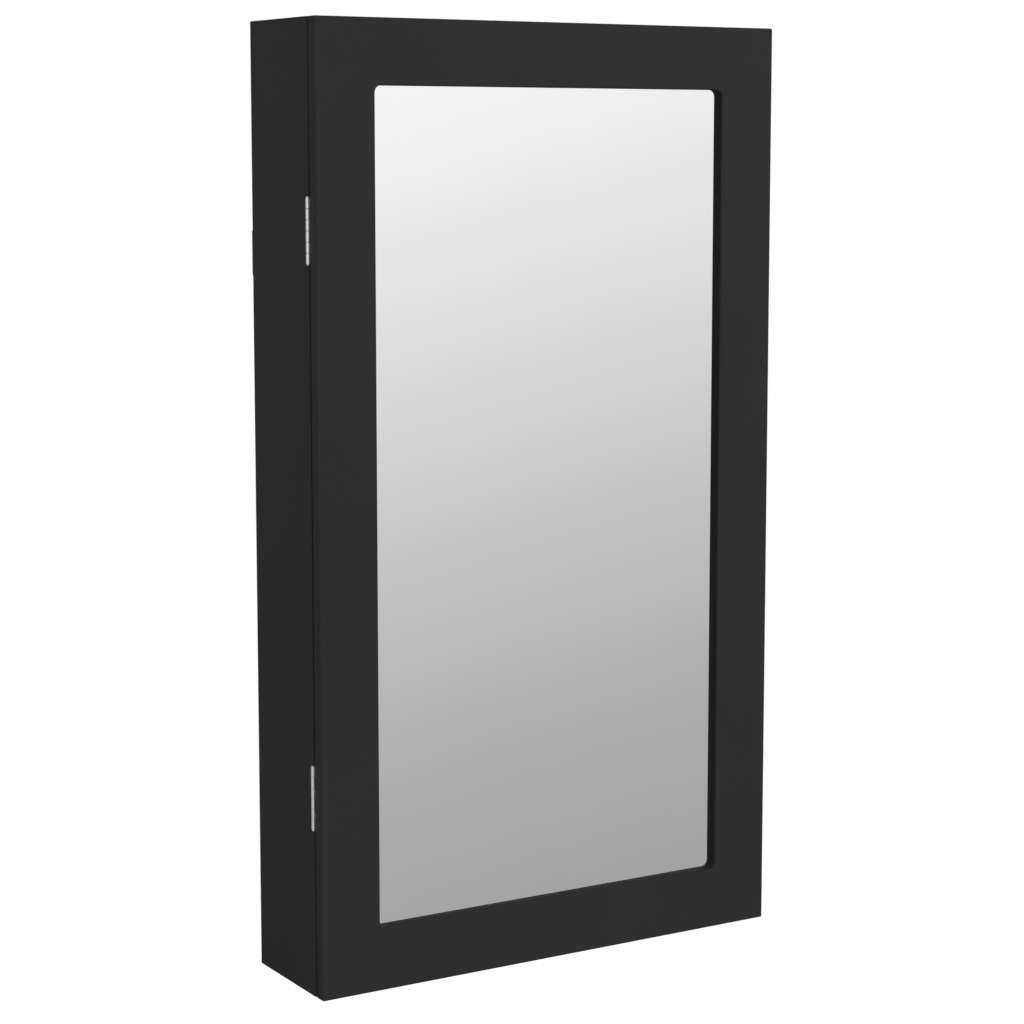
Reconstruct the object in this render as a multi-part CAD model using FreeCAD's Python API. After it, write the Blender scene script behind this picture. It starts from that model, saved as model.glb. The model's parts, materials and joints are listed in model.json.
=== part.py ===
"""Wall-hung jewelry cabinet behind a mirror door, as separate pieces in millimetres.

X runs to the right seen from the front, Y from the front towards the wall, Z up.
The wall is the plane y = 0 and the middle of the cabinet is x = 0. Heights in this file
are measured from the cabinet's underside; save() lowers every piece so that z = 0 is the
height of the two wall screws.
"""
import FreeCAD, Part
import os

Vector = FreeCAD.Vector
X_AXIS = Vector(1, 0, 0)
Y_AXIS = Vector(0, 1, 0)
Z_AXIS = Vector(0, 0, 1)
ROUNDING = 1e-4

# Overall size
WIDTH = 375.0
HEIGHT = 670.0
DEPTH = 100.0
HALF_WIDTH = WIDTH / 2

# Screws: shank radius and length; the recess in a head is a share of the shank radius
HANGER_SCREW = (1.25, 14.0)
CASE_LEAF_SCREW = (1.2, 13.0)
DOOR_LEAF_SCREW = (1.2, 8.0)
BEAD_SCREW = (1.1, 8.0)
STRIKE_SCREW = (1.2, 8.0)
RAIL_SCREW = (1.25, 13.0)
TRAY_SCREW = (1.25, 6.5)
DIVIDER_SCREW = (1.2, 18.0)
CRADLE_SCREW = (1.2, 12.5)
EARRING_FRONT_SCREW = (1.25, 10.0)
EARRING_REAR_SCREW = (1.25, 12.0)
TIP_SHARE = 0.3
RECESS_REACH = 1.15
RECESS_WIDTH = 0.5
RECESS_DEPTH = 0.8

# Case
PLATE_THICK = 1.5
PANEL_THICK = 15.0
CASE_BACK_Y = -PLATE_THICK
DOOR_THICK = 9.5
DOOR_GAP = 2.0
DOOR_FRONT_Y = -DEPTH
DOOR_BACK_Y = DOOR_FRONT_Y + DOOR_THICK
CASE_FRONT_Y = DOOR_BACK_Y + DOOR_GAP
INNER_X = HALF_WIDTH - PANEL_THICK
INNER_BOTTOM = PANEL_THICK
INNER_TOP = HEIGHT - PANEL_THICK
EDGE_MIDDLE_X = HALF_WIDTH - PANEL_THICK / 2
SEAM_ROUND = 0.6
OUTER_ROUND = 0.8
INSIDE_ROUND = 1.0

# Back board in its groove, with a velvet lining stuck on it
BACK_BOARD_THICK = 3.0
BACK_BOARD_Y = -9.5
GROOVE_DEPTH = 5.0
GROOVE_PLAY = 0.1
BACK_BOARD_PLAY = 0.2
LINING_THICK = 1.0
LINING_Y = BACK_BOARD_Y - BACK_BOARD_THICK
INSIDE_Y = LINING_Y - LINING_THICK

# Corner dowels
DOWEL_RADIUS = 3.0
DOWEL_LENGTH = 30.0
DOWEL_IN_SIDE = 12.0
DOWEL_YS = (-30.0, -65.0)

# Keyhole plates on the rear edges of the sides
PLATE_MIDDLE_Z = 510.5
PLATE_HEIGHT = 33.0
PLATE_WIDTH = 14.0
PLATE_INSET = 0.5
PLATE_X = HALF_WIDTH - PLATE_INSET - PLATE_WIDTH / 2
KEYHOLE_RADIUS = 4.25
KEYHOLE_DROP = 4.5
SLOT_RADIUS = 2.25
SLOT_RISE = 5.5
HANGER_HEIGHT = PLATE_MIDDLE_Z - KEYHOLE_DROP
POCKET_WIDTH = 10.0
POCKET_LOW = 9.5
POCKET_HIGH = 10.0
POCKET_DEPTH = 6.0
PLATE_SCREW_STEP = 13.0
PLATE_CORNER = 2.0
WALL_PAD_RADIUS = 6.0
WALL_PAD_Z = 30.0

# Door frame, its window and the mirror behind it
MEMBER = 45.0
WINDOW_X = HALF_WIDTH - MEMBER
WINDOW_LOW = MEMBER
WINDOW_HIGH = HEIGHT - MEMBER
WINDOW_CORNER = 5.0
CORNER_ROUND = 1.2
FRONT_ROUND = 1.6
WINDOW_ROUND = 1.2
MIRROR_FACE_DEPTH = 5.6
MIRROR_Y = DOOR_FRONT_Y + MIRROR_FACE_DEPTH
MIRROR_THICK = 3.0
BOARD_THICK = 3.0
REBATE = 7.5
GLASS_PLAY = 0.5
REBATE_X = WINDOW_X + REBATE
REBATE_LOW = WINDOW_LOW - REBATE
REBATE_HIGH = WINDOW_HIGH + REBATE
BOARD_Y = MIRROR_Y + MIRROR_THICK
PACK_BACK_Y = BOARD_Y + BOARD_THICK

# Beads that hold the mirror and its board in the door
BEAD_WIDTH = 10.0
BEAD_LIP = 4.5
BEAD_LIP_THICK = 2.0
BEAD_BACK_Y = PACK_BACK_Y + BEAD_LIP_THICK
BEAD_SCREW_INSET = 5.0
BEAD_SCREW_ZS = (70.0, 246.0, 424.0, 600.0)
BEAD_SCREW_XS = (-90.0, 90.0)
BEAD_ROUND = 0.8
LINING_PLAY = 0.3

# Hinges
HINGE_ZS = {"lower": 141.5, "upper": 528.5}
HINGE_HEIGHT = 44.3
KNUCKLES = 6
KNUCKLE_GAP = 0.3
PIN_X = -HALF_WIDTH - 1.0
PIN_Y = (CASE_FRONT_Y + DOOR_BACK_Y) / 2
BARREL_RADIUS = 1.35
KNUCKLE_ROUND = 0.25
PIN_RADIUS = 0.8
PIN_PLAY = 0.05
PIN_HEAD_RADIUS = 1.2
PIN_HEAD_HEIGHT = 0.3
LEAF_THICK = 0.85
LEAF_START_X = PIN_X + BARREL_RADIUS + 0.3
LEAF_END_X = -HALF_WIDTH + 12.5
LEAF_SCREW_X = -HALF_WIDTH + 7.0
LEAF_SCREW_STEP = 15.5
LEAF_CORNER = 1.5

# Magnetic catches and bumpers on the right side
CATCH_ZS = (215.0, 455.0)
MAGNET_RADIUS = 5.0
MAGNET_LENGTH = 5.0
MAGNET_PROUD = 0.8
STRIKE_RADIUS = 6.0
STRIKE_THICK = 0.8
BUMPER_ZS = (25.0, 645.0)
BUMPER_RADIUS = 4.0
BUMPER_THICK = 1.7

# Shelves, pins and clear guards
SHELF_THICK = 6.0
SHELF_FRONT_Y = -78.0
SHELF_PLAY = 0.3
SHELF_ZS = {"lower": 95.0, "upper": 181.0}
SHELF_PIN_RADIUS = 2.5
SHELF_PIN_REACH = 8.0
SHELF_PIN_YS = (-28.0, -64.0)
SHELF_PIN_SUNK = 1.5
GUARD_THICK = 2.0
GUARD_HEIGHT = 25.0
GUARD_GROOVE = 3.0
GUARD_Y = -74.0
GUARD_END_PLAY = 0.5
GUARD_CORNER = 4.0

# Divider between the necklace bay and the ring and earring bay
DIVIDER_LEFT_X = 36.0
DIVIDER_THICK = 6.0
DIVIDER_RIGHT_X = DIVIDER_LEFT_X + DIVIDER_THICK
DIVIDER_FRONT_Y = -72.5
DIVIDER_HOUSING = 3.0
DIVIDER_SCREW_YS = (-27.0, -59.0)
LEFT_BAY_X = (DIVIDER_LEFT_X - INNER_X) / 2
RIGHT_BAY_X = (DIVIDER_RIGHT_X + INNER_X) / 2

# Necklace hooks on a rail
RAIL_LENGTH = 196.0
RAIL_LOW = 606.0
RAIL_HEIGHT = 22.0
RAIL_THICK = 12.0
RAIL_FRONT_Y = INSIDE_Y - RAIL_THICK
RAIL_SCREW_STEP = 84.0
RAIL_ROUND = 1.5
HOOKS = 7
HOOK_PITCH = 28.0
HOOK_WIRE = 1.3
HOOK_SUNK = 8.0
HOOK_FLANGE_RADIUS = 4.0
HOOK_FLANGE_THICK = 1.0
HOOK_REACH = 16.0
HOOK_BEND = 5.0
HOOK_RISE = 4.0
HOOK_BALL = 2.3

# Bangle rod in open-topped cradles
ROD_Y = -45.0
ROD_Z = 234.0
ROD_RADIUS = 11.0
CAP_RADIUS = 11.8
CAP_THICK = 3.0
CAP_ROUND = 0.8
SPIGOT_RADIUS = 5.0
SPIGOT_LENGTH = 6.0
CRADLE_THICK = 8.0
CRADLE_GAP = 0.5
CRADLE_SLOT = 5.08
CRADLE_HALF_DEPTH = 11.0
CRADLE_BELOW = 18.0
CRADLE_ABOVE = 9.0
CRADLE_BOTTOM_ROUND = 7.0
CRADLE_TOP_ROUND = 1.5
CRADLE_SCREW_STEP = 5.5
CRADLE_SCREW_DROP = 12.5

# Earring panel on four standoffs
EARRING_LOW = 436.0
EARRING_HEIGHT = 200.0
EARRING_WIDTH = 122.0
EARRING_THICK = 2.0
EARRING_BACK_Y = -40.0
EARRING_CORNER = 5.0
STANDOFF_RADIUS = 4.0
STANDOFF_INSET = 8.0
EARRING_ROWS = 8
EARRING_PAIRS = 6
EARRING_ROW_PITCH = 21.0
EARRING_PAIR_PITCH = 17.0
EARRING_PAIR_GAP = 7.0
EARRING_HOLE_RADIUS = 1.1

# Ring tray with a ribbed foam cushion
TRAY_LOW = 200.0
TRAY_HEIGHT = 206.0
TRAY_WIDTH = 124.0
TRAY_DEPTH = 18.0
TRAY_WALL = 4.0
TRAY_BACK = 3.0
CUSHION_PLAY = 0.4
RING_RIBS = 12
RIB_GAP = 0.6
CUSHION_BASE = 4.0
CUSHION_PROUD = 4.0
TRAY_SCREW_X = 48.0
TRAY_SCREW_Z = 88.0
TRAY_ROUND = 0.8


def box(x_range, y_range, z_range):
    """A block between two x, two y and two z values."""
    sizes = [abs(pair[1] - pair[0]) for pair in (x_range, y_range, z_range)]
    corner = Vector(min(x_range), min(y_range), min(z_range))
    return Part.makeBox(sizes[0], sizes[1], sizes[2], corner)


def cylinder(radius, length, start, direction):
    """A round bar from start along direction."""
    return Part.makeCylinder(radius, length, Vector(*start), direction)


def screw_blank(head_at, direction, radius, length):
    """A countersunk screw without its recess: head top centred at head_at, shank along direction."""
    head_radius = 2 * radius
    head_height = head_radius - radius
    start = Vector(*head_at)
    head = Part.makeCone(head_radius, radius, head_height, start, direction)
    tip_length = 2 * radius
    shank_length = length - head_height - tip_length
    shank_start = start + direction * head_height
    shank = Part.makeCylinder(radius, shank_length, shank_start, direction)
    tip_start = shank_start + direction * shank_length
    tip = Part.makeCone(radius, TIP_SHARE * radius, tip_length, tip_start, direction)
    return head.fuse([shank, tip]).removeSplitter()


def cross_recess(head_at, direction, radius):
    """The two crossed slots in a screw's head."""
    across = [axis for axis in (X_AXIS, Y_AXIS, Z_AXIS) if abs(axis * direction) < 0.5]
    start = Vector(*head_at)
    slots = []
    for long_axis, short_axis in (across, across[::-1]):
        reach = long_axis * (RECESS_REACH * radius)
        side = short_axis * (RECESS_WIDTH * radius / 2)
        corners = [start + reach + side, start + reach - side, start - reach - side, start - reach + side]
        face = Part.Face(Part.makePolygon(corners + corners[:1]))
        slots.append(face.extrude(direction * (RECESS_DEPTH * radius)))
    return slots


def holes_for(screws):
    """The spaces that the screws fill."""
    return [screw_blank(*screw) for screw in screws]


def finished(screws):
    """The screws with their cross recesses."""
    return [screw_blank(*screw).cut(cross_recess(*screw[:3])) for screw in screws]


def cut_all(shape, tools):
    """The shape less every tool."""
    return shape.cut(tools) if tools else shape


def edges_where(shape, test):
    """The edges whose midpoint passes the test."""
    chosen = []
    for edge in shape.Edges:
        middle = edge.valueAt((edge.FirstParameter + edge.LastParameter) / 2)
        if test(edge, middle):
            chosen.append(edge)
    return chosen


def near(value, target):
    """True where two lengths are the same but for rounding."""
    return abs(value - target) < ROUNDING


def runs_along(edge, axis):
    """True where a straight edge is parallel to the axis."""
    if edge.Curve.TypeId != "Part::GeomLine":
        return False
    return near(abs(edge.tangentAt(edge.FirstParameter) * axis), 1)


def save(name, pieces):
    """Lower the piece to the hanger's height and write it; a list becomes a group of solids."""
    shape = Part.makeCompound(pieces) if isinstance(pieces, list) else pieces
    placed = shape.copy()
    placed.translate(Vector(0, 0, -HANGER_HEIGHT))
    if not placed.isValid() or not placed.Solids:
        raise ValueError(name + " is not a valid solid")
    placed.exportStep("parts/" + name + ".step")


# ---------------------------------------------------------------- fasteners

def corner_dowels():
    """Eight wooden dowels between the sides and the top and bottom."""
    dowels = []
    for side in (-1, 1):
        for z in (PANEL_THICK / 2, HEIGHT - PANEL_THICK / 2):
            for y in DOWEL_YS:
                start = (side * (INNER_X + DOWEL_IN_SIDE), y, z)
                dowels.append(cylinder(DOWEL_RADIUS, DOWEL_LENGTH, start, X_AXIS * -side))
    return dowels


def shelf_pins():
    """Eight steel pins in the sides, four under each shelf."""
    pins = []
    for shelf_z in SHELF_ZS.values():
        z = shelf_z + SHELF_PIN_SUNK - SHELF_PIN_RADIUS
        for side in (-1, 1):
            for y in SHELF_PIN_YS:
                start = (side * (INNER_X + SHELF_PIN_REACH), y, z)
                pins.append(cylinder(SHELF_PIN_RADIUS, 2 * SHELF_PIN_REACH, start, X_AXIS * -side))
    return pins


def hanger_screws():
    """Two screws in each keyhole plate, driven into the side's rear edge."""
    screws = []
    for side in (-1, 1):
        for step in (-PLATE_SCREW_STEP, PLATE_SCREW_STEP):
            head_at = (side * PLATE_X, 0, PLATE_MIDDLE_Z + step)
            screws.append((head_at, -Y_AXIS, *HANGER_SCREW))
    return screws


def hinge_screws(head_y, direction, size):
    """Three screws through one leaf of each hinge."""
    screws = []
    for middle_z in HINGE_ZS.values():
        for step in (-LEAF_SCREW_STEP, 0, LEAF_SCREW_STEP):
            head_at = (LEAF_SCREW_X, head_y, middle_z + step)
            screws.append((head_at, direction, *size))
    return screws


def case_leaf_screws():
    """The screws that hold the hinges to the case."""
    return hinge_screws(CASE_FRONT_Y - LEAF_THICK, Y_AXIS, CASE_LEAF_SCREW)


def door_leaf_screws():
    """The screws that hold the hinges to the door."""
    return hinge_screws(DOOR_BACK_Y + LEAF_THICK, -Y_AXIS, DOOR_LEAF_SCREW)


def bead_screws():
    """Twelve screws through the mirror beads into the back of the door frame."""
    spots = []
    side_x = REBATE_X + BEAD_SCREW_INSET
    for z in BEAD_SCREW_ZS:
        spots += [(-side_x, z), (side_x, z)]
    for x in BEAD_SCREW_XS:
        spots += [(x, REBATE_LOW - BEAD_SCREW_INSET), (x, REBATE_HIGH + BEAD_SCREW_INSET)]
    return [((x, BEAD_BACK_Y, z), -Y_AXIS, *BEAD_SCREW) for x, z in spots]


def strike_screws():
    """One screw in the middle of each strike plate."""
    head_y = DOOR_BACK_Y + STRIKE_THICK
    return [((EDGE_MIDDLE_X, head_y, z), -Y_AXIS, *STRIKE_SCREW) for z in CATCH_ZS]


def rail_screws():
    """Three screws from behind the back board into the hook rail."""
    z = RAIL_LOW + RAIL_HEIGHT / 2
    xs = (LEFT_BAY_X - RAIL_SCREW_STEP, LEFT_BAY_X, LEFT_BAY_X + RAIL_SCREW_STEP)
    return [((x + HOOK_PITCH / 2, BACK_BOARD_Y, z), -Y_AXIS, *RAIL_SCREW) for x in xs]


def tray_screws():
    """Four short screws from behind the back board into the ring tray's back."""
    middle_z = TRAY_LOW + TRAY_HEIGHT / 2
    screws = []
    for x in (-TRAY_SCREW_X, TRAY_SCREW_X):
        for z in (-TRAY_SCREW_Z, TRAY_SCREW_Z):
            head_at = (RIGHT_BAY_X + x, BACK_BOARD_Y, middle_z + z)
            screws.append((head_at, -Y_AXIS, *TRAY_SCREW))
    return screws


def divider_screws():
    """Two screws up through the upper shelf into the divider."""
    x = (DIVIDER_LEFT_X + DIVIDER_RIGHT_X) / 2
    return [((x, y, SHELF_ZS["upper"]), Z_AXIS, *DIVIDER_SCREW) for y in DIVIDER_SCREW_YS]


def cradle_faces():
    """For each cradle: its face towards the rod and the direction from there into the wood."""
    left = -INNER_X + CRADLE_THICK
    right = DIVIDER_LEFT_X - CRADLE_THICK
    return {"left": (left, -X_AXIS), "right": (right, X_AXIS)}


def cradle_screws():
    """Two screws through each cradle, into the side on the left and the divider on the right."""
    screws = []
    for face_x, inward in cradle_faces().values():
        for step in (-CRADLE_SCREW_STEP, CRADLE_SCREW_STEP):
            head_at = (face_x, ROD_Y + step, ROD_Z - CRADLE_SCREW_DROP)
            screws.append((head_at, inward, *CRADLE_SCREW))
    return screws


def standoff_spots():
    """The four corners where the earring panel is held."""
    half = EARRING_WIDTH / 2 - STANDOFF_INSET
    zs = (EARRING_LOW + STANDOFF_INSET, EARRING_LOW + EARRING_HEIGHT - STANDOFF_INSET)
    return [(RIGHT_BAY_X + dx, z) for dx in (-half, half) for z in zs]


def earring_screws():
    """A screw from the front and a screw from behind in each standoff."""
    screws = []
    for x, z in standoff_spots():
        front_y = EARRING_BACK_Y - EARRING_THICK
        screws.append(((x, front_y, z), Y_AXIS, *EARRING_FRONT_SCREW))
        screws.append(((x, BACK_BOARD_Y, z), -Y_AXIS, *EARRING_REAR_SCREW))
    return screws


# ---------------------------------------------------------------- case

def magnets():
    """Two round magnets in the right side's front edge, standing a little proud."""
    start_y = CASE_FRONT_Y - MAGNET_PROUD
    return [cylinder(MAGNET_RADIUS, MAGNET_LENGTH, (EDGE_MIDDLE_X, start_y, z), Y_AXIS) for z in CATCH_ZS]


def side_panel(side):
    """One side, with its back groove, screw-head pocket and every hole drilled in it."""
    outer_x = side * HALF_WIDTH
    inner_x = side * INNER_X
    panel = box((inner_x, outer_x), (CASE_FRONT_Y, CASE_BACK_Y), (0, HEIGHT))
    outer = edges_where(panel, lambda e, m: near(m.x, outer_x) or runs_along(e, X_AXIS))
    panel = panel.makeFillet(OUTER_ROUND, outer)
    groove_y = (LINING_Y - GROOVE_PLAY, BACK_BOARD_Y + GROOVE_PLAY)
    groove_z = (INNER_BOTTOM - GROOVE_DEPTH, INNER_TOP + GROOVE_DEPTH)
    groove = box((inner_x, inner_x + side * GROOVE_DEPTH), groove_y, groove_z)
    plate_x = side * PLATE_X
    pocket_x = (plate_x - POCKET_WIDTH / 2, plate_x + POCKET_WIDTH / 2)
    pocket_z = (PLATE_MIDDLE_Z - POCKET_LOW, PLATE_MIDDLE_Z + POCKET_HIGH)
    pocket = box(pocket_x, (CASE_BACK_Y, CASE_BACK_Y - POCKET_DEPTH), pocket_z)
    tools = [groove, pocket] + corner_dowels() + shelf_pins() + holes_for(hanger_screws())
    if side < 0:
        tools += holes_for(case_leaf_screws() + cradle_screws())
    else:
        tools += magnets()
    return cut_all(panel, tools)


def cross_panel(outer_z, inner_z, groove_up):
    """The top or bottom panel between the sides, with its groove for the back board."""
    panel = box((-INNER_X, INNER_X), (CASE_FRONT_Y, CASE_BACK_Y), (outer_z, inner_z))
    outer = edges_where(panel, lambda e, m: runs_along(e, X_AXIS) and near(m.z, outer_z))
    panel = panel.makeFillet(OUTER_ROUND, outer)
    groove_y = (LINING_Y - GROOVE_PLAY, BACK_BOARD_Y + GROOVE_PLAY)
    groove = box((-INNER_X, INNER_X), groove_y, (inner_z, inner_z + groove_up * GROOVE_DEPTH))
    return cut_all(panel, [groove] + corner_dowels())


def top_panel():
    """The top, housed for the divider's upper end."""
    housing_x = (DIVIDER_LEFT_X, DIVIDER_RIGHT_X)
    housing = box(housing_x, (DIVIDER_FRONT_Y, INSIDE_Y), (INNER_TOP, INNER_TOP + DIVIDER_HOUSING))
    return cross_panel(HEIGHT, INNER_TOP, 1).cut(housing)


def guard_groove(floor_z):
    """The slot that a clear guard stands in, cut down into a shelf or the bottom."""
    groove_y = (GUARD_Y - GUARD_THICK / 2, GUARD_Y + GUARD_THICK / 2)
    return box((-INNER_X, INNER_X), groove_y, (floor_z - GUARD_GROOVE, floor_z))


def bottom_panel():
    """The bottom, slotted for its clear guard."""
    return cross_panel(0, INNER_BOTTOM, -1).cut(guard_groove(INNER_BOTTOM))


def back_screws():
    """Every screw that goes through the back board."""
    return rail_screws() + tray_screws() + earring_screws()


def back_board():
    """The thin board in the grooves, drilled for what is screwed to it from behind."""
    reach = GROOVE_DEPTH - BACK_BOARD_PLAY
    board_z = (INNER_BOTTOM - reach, INNER_TOP + reach)
    board = box((-INNER_X - reach, INNER_X + reach), (LINING_Y, BACK_BOARD_Y), board_z)
    return cut_all(board, holes_for(back_screws()))


def back_lining():
    """The velvet sheet on the front of the back board."""
    sheet = box((-INNER_X, INNER_X), (INSIDE_Y, LINING_Y), (INNER_BOTTOM, INNER_TOP))
    return cut_all(sheet, holes_for(back_screws()))


def hanger_plate(side):
    """A keyhole plate: a round entry for the wall screw's head and a slot rising from it."""
    x = side * PLATE_X
    half_width = PLATE_WIDTH / 2
    half_height = PLATE_HEIGHT / 2
    plate_z = (PLATE_MIDDLE_Z - half_height, PLATE_MIDDLE_Z + half_height)
    plate = box((x - half_width, x + half_width), (CASE_BACK_Y, 0), plate_z)
    plate = plate.makeFillet(PLATE_CORNER, edges_where(plate, lambda e, m: runs_along(e, Y_AXIS)))
    entry_z = PLATE_MIDDLE_Z - KEYHOLE_DROP
    slot_end_z = PLATE_MIDDLE_Z + SLOT_RISE
    entry = cylinder(KEYHOLE_RADIUS, PLATE_THICK, (x, CASE_BACK_Y, entry_z), Y_AXIS)
    slot = box((x - SLOT_RADIUS, x + SLOT_RADIUS), (CASE_BACK_Y, 0), (entry_z, slot_end_z))
    slot_end = cylinder(SLOT_RADIUS, PLATE_THICK, (x, CASE_BACK_Y, slot_end_z), Y_AXIS)
    return cut_all(plate, [entry, slot, slot_end] + holes_for(hanger_screws()))


def wall_pads():
    """Two felt pads low on the rear edges, as thick as the hanger plates."""
    starts = [(side * EDGE_MIDDLE_X, CASE_BACK_Y, WALL_PAD_Z) for side in (-1, 1)]
    return [cylinder(WALL_PAD_RADIUS, PLATE_THICK, start, Y_AXIS) for start in starts]


def bumpers():
    """Two rubber dots on the right side's front edge."""
    starts = [(EDGE_MIDDLE_X, CASE_FRONT_Y, z) for z in BUMPER_ZS]
    return [cylinder(BUMPER_RADIUS, BUMPER_THICK, start, -Y_AXIS) for start in starts]


# ---------------------------------------------------------------- hinges

def knuckle_ranges(middle_z, first):
    """The heights of every second knuckle, starting from the first or second from below."""
    pitch = HINGE_HEIGHT / KNUCKLES
    low = middle_z - HINGE_HEIGHT / 2
    ranges = []
    for number in range(first, KNUCKLES, 2):
        start = low + number * pitch + KNUCKLE_GAP / 2
        ranges.append((start, start + pitch - KNUCKLE_GAP))
    return ranges


def hinge_leaf(middle_z, leaf_y, first, bore_radius, screws):
    """A leaf with its three knuckles, bored for the pin and countersunk for its screws."""
    leaf_z = (middle_z - HINGE_HEIGHT / 2 + KNUCKLE_GAP / 2, middle_z + HINGE_HEIGHT / 2 - KNUCKLE_GAP / 2)
    plate = box((LEAF_START_X, LEAF_END_X), leaf_y, leaf_z)
    ends = edges_where(plate, lambda e, m: runs_along(e, Y_AXIS) and near(m.x, LEAF_END_X))
    leaf = plate.makeFillet(LEAF_CORNER, ends)
    for low, high in knuckle_ranges(middle_z, first):
        knuckle = cylinder(BARREL_RADIUS, high - low, (PIN_X, PIN_Y, low), Z_AXIS)
        rims = edges_where(knuckle, lambda e, m: e.Curve.TypeId == "Part::GeomCircle")
        knuckle = knuckle.makeFillet(KNUCKLE_ROUND, rims)
        tab = box((PIN_X, LEAF_START_X), leaf_y, (low, high))
        leaf = leaf.fuse([knuckle, tab])
    bore_start = (PIN_X, PIN_Y, middle_z - HINGE_HEIGHT)
    bore = cylinder(bore_radius, 2 * HINGE_HEIGHT, bore_start, Z_AXIS)
    return leaf.removeSplitter().cut([bore] + holes_for(screws))


def case_leaf(middle_z):
    """The leaf on the case, which grips the pin."""
    leaf_y = (CASE_FRONT_Y - LEAF_THICK, CASE_FRONT_Y)
    return hinge_leaf(middle_z, leaf_y, 0, PIN_RADIUS, case_leaf_screws())


def door_leaf(middle_z):
    """The leaf on the door, which turns on the pin."""
    leaf_y = (DOOR_BACK_Y, DOOR_BACK_Y + LEAF_THICK)
    return hinge_leaf(middle_z, leaf_y, 1, PIN_RADIUS + PIN_PLAY, door_leaf_screws())


def hinge_pin(middle_z):
    """The pin through all six knuckles, with a low head at each end."""
    low = middle_z - HINGE_HEIGHT / 2 - KNUCKLE_GAP
    length = HINGE_HEIGHT + 2 * KNUCKLE_GAP
    pin = cylinder(PIN_RADIUS, length, (PIN_X, PIN_Y, low), Z_AXIS)
    heads = [
        cylinder(PIN_HEAD_RADIUS, PIN_HEAD_HEIGHT, (PIN_X, PIN_Y, low), -Z_AXIS),
        cylinder(PIN_HEAD_RADIUS, PIN_HEAD_HEIGHT, (PIN_X, PIN_Y, low + length), Z_AXIS),
    ]
    return pin.fuse(heads).removeSplitter()


# ---------------------------------------------------------------- door

def door_frame():
    """The one-piece routed frame: window, rear rebate, eased edges and screw holes."""
    frame = box((-HALF_WIDTH, HALF_WIDTH), (DOOR_FRONT_Y, DOOR_BACK_Y), (0, HEIGHT))
    corners = edges_where(frame, lambda e, m: runs_along(e, Y_AXIS))
    frame = frame.makeFillet(CORNER_ROUND, corners)
    frame = frame.makeFillet(FRONT_ROUND, edges_where(frame, lambda e, m: near(m.y, DOOR_FRONT_Y)))
    frame = frame.makeFillet(SEAM_ROUND, edges_where(frame, lambda e, m: near(m.y, DOOR_BACK_Y)))
    window = box((-WINDOW_X, WINDOW_X), (DOOR_FRONT_Y, DOOR_BACK_Y), (WINDOW_LOW, WINDOW_HIGH))
    window = window.makeFillet(WINDOW_CORNER, edges_where(window, lambda e, m: runs_along(e, Y_AXIS)))
    frame = frame.cut(window)
    rim = edges_where(frame, lambda e, m: near(m.y, DOOR_FRONT_Y) and is_on_window(m))
    frame = frame.makeFillet(WINDOW_ROUND, rim)
    rebate = box((-REBATE_X, REBATE_X), (MIRROR_Y, DOOR_BACK_Y), (REBATE_LOW, REBATE_HIGH))
    return frame.cut([rebate] + holes_for(bead_screws() + strike_screws() + door_leaf_screws()))


def is_on_window(point):
    """True where a point lies within the window's outline, its edge included."""
    inside_x = abs(point.x) < WINDOW_X + ROUNDING
    return inside_x and WINDOW_LOW - ROUNDING < point.z < WINDOW_HIGH + ROUNDING


def rebate_sheet(y_range):
    """A sheet that fills the rebate in width and height, less its play."""
    half = REBATE_X - GLASS_PLAY
    return box((-half, half), y_range, (REBATE_LOW + GLASS_PLAY, REBATE_HIGH - GLASS_PLAY))


def door_lining():
    """The velvet on the mirror's backing board, inside the beads."""
    half = REBATE_X - BEAD_LIP - LINING_PLAY
    lining_z = (REBATE_LOW + BEAD_LIP + LINING_PLAY, REBATE_HIGH - BEAD_LIP - LINING_PLAY)
    return box((-half, half), (PACK_BACK_Y, PACK_BACK_Y + LINING_THICK), lining_z)


def bead_ring():
    """The L-shaped beads as one ring, before their mitres are cut."""
    outer_x = REBATE_X + BEAD_WIDTH
    outer_z = (REBATE_LOW - BEAD_WIDTH, REBATE_HIGH + BEAD_WIDTH)
    inner_x = REBATE_X - BEAD_LIP
    inner_z = (REBATE_LOW + BEAD_LIP, REBATE_HIGH - BEAD_LIP)
    ring = box((-outer_x, outer_x), (DOOR_BACK_Y, BEAD_BACK_Y), outer_z)
    opening = box((-inner_x, inner_x), (DOOR_BACK_Y, BEAD_BACK_Y), inner_z)
    mirror_room = box((-REBATE_X, REBATE_X), (DOOR_BACK_Y, PACK_BACK_Y), (REBATE_LOW, REBATE_HIGH))
    ring = ring.cut([opening, mirror_room])
    rims = edges_where(ring, lambda e, m: near(m.y, BEAD_BACK_Y))
    return ring.makeFillet(BEAD_ROUND, rims).cut(holes_for(bead_screws()))


def mitred_beads():
    """The four beads by name, cut from the ring at 45 degrees."""
    x = REBATE_X + BEAD_WIDTH
    low = REBATE_LOW - BEAD_WIDTH
    high = REBATE_HIGH + BEAD_WIDTH
    width = BEAD_WIDTH + BEAD_LIP
    outlines = {
        "left": [(-x, low), (-x, high), (-x + width, high - width), (-x + width, low + width)],
        "right": [(x, low), (x, high), (x - width, high - width), (x - width, low + width)],
        "bottom": [(-x, low), (x, low), (x - width, low + width), (-x + width, low + width)],
        "top": [(-x, high), (x, high), (x - width, high - width), (-x + width, high - width)],
    }
    ring = bead_ring()
    beads = {}
    for name, outline in outlines.items():
        corners = [Vector(px, DOOR_BACK_Y, pz) for px, pz in outline]
        face = Part.Face(Part.makePolygon(corners + corners[:1]))
        beads[name] = ring.common(face.extrude(Y_AXIS * (BEAD_BACK_Y - DOOR_BACK_Y)))
    return beads


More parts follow.
